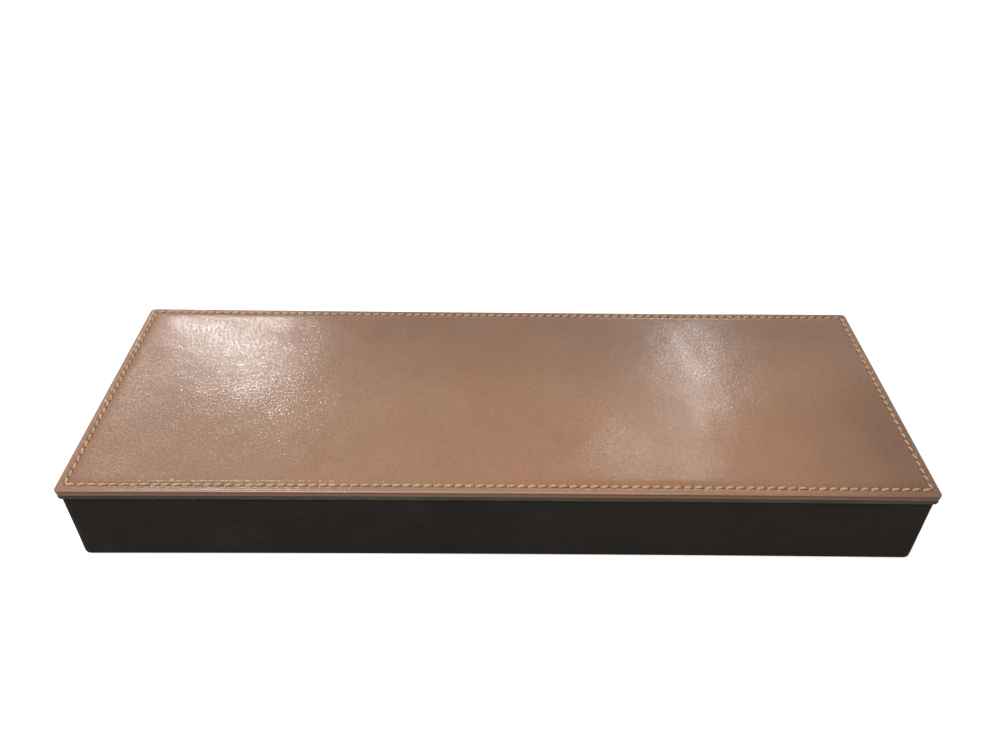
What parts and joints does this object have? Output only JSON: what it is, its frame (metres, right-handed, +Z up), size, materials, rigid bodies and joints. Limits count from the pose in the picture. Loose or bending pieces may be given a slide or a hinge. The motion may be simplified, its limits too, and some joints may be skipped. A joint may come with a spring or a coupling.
{
  "type": "pen tray",
  "caption": "Shallow rectangular pen tray in dark suede, closed by a lift-off lid with a stitched brown leather top and a raised panel underneath that drops into the well.",
  "frame": {"origin": "middle of the footprint, on the surface that the tray stands on", "axes": "+X along the length to the right, -Y towards the front, +Z up out of the well"},
  "size_m": [0.28, 0.1, 0.0321],
  "materials": {
    "brown_leather": "smooth taupe-brown calf leather, softly polished, fine grain",
    "cover_suede": "matte near-black brown suede",
    "lining_suede": "charcoal suede with a short nap",
    "waxed_thread": "waxed cream linen thread",
    "greyboard": "plain bookbinder's greyboard",
    "wadding": "thin off-white wadding"
  },
  "bodies": {
    "tray": {"front_wall": "greyboard", "back_wall": "greyboard", "left_wall": "greyboard", "right_wall": "greyboard", "base_board": "greyboard", "tray_cover": "cover_suede", "base_infill": "greyboard", "base_sheet": "lining_suede", "front_lining": "lining_suede", "back_lining": "lining_suede", "left_lining": "lining_suede", "right_lining": "lining_suede", "floor_card": "greyboard", "floor_padding": "wadding", "floor_suede": "lining_suede"},
    "lid": {"lid_underlay": "lining_suede", "lid_infill": "greyboard", "lid_board": "greyboard", "lid_padding": "wadding", "lid_leather": "brown_leather", "lid_thread": "waxed_thread", "locating_board": "greyboard", "locating_suede": "lining_suede"}
  },
  "joints": [
    {"name": "lid_lift", "type": "slide", "parent": "tray", "child": "lid", "axis": [0, 0, 1], "range_m": [0, 0.1]}
  ]
}
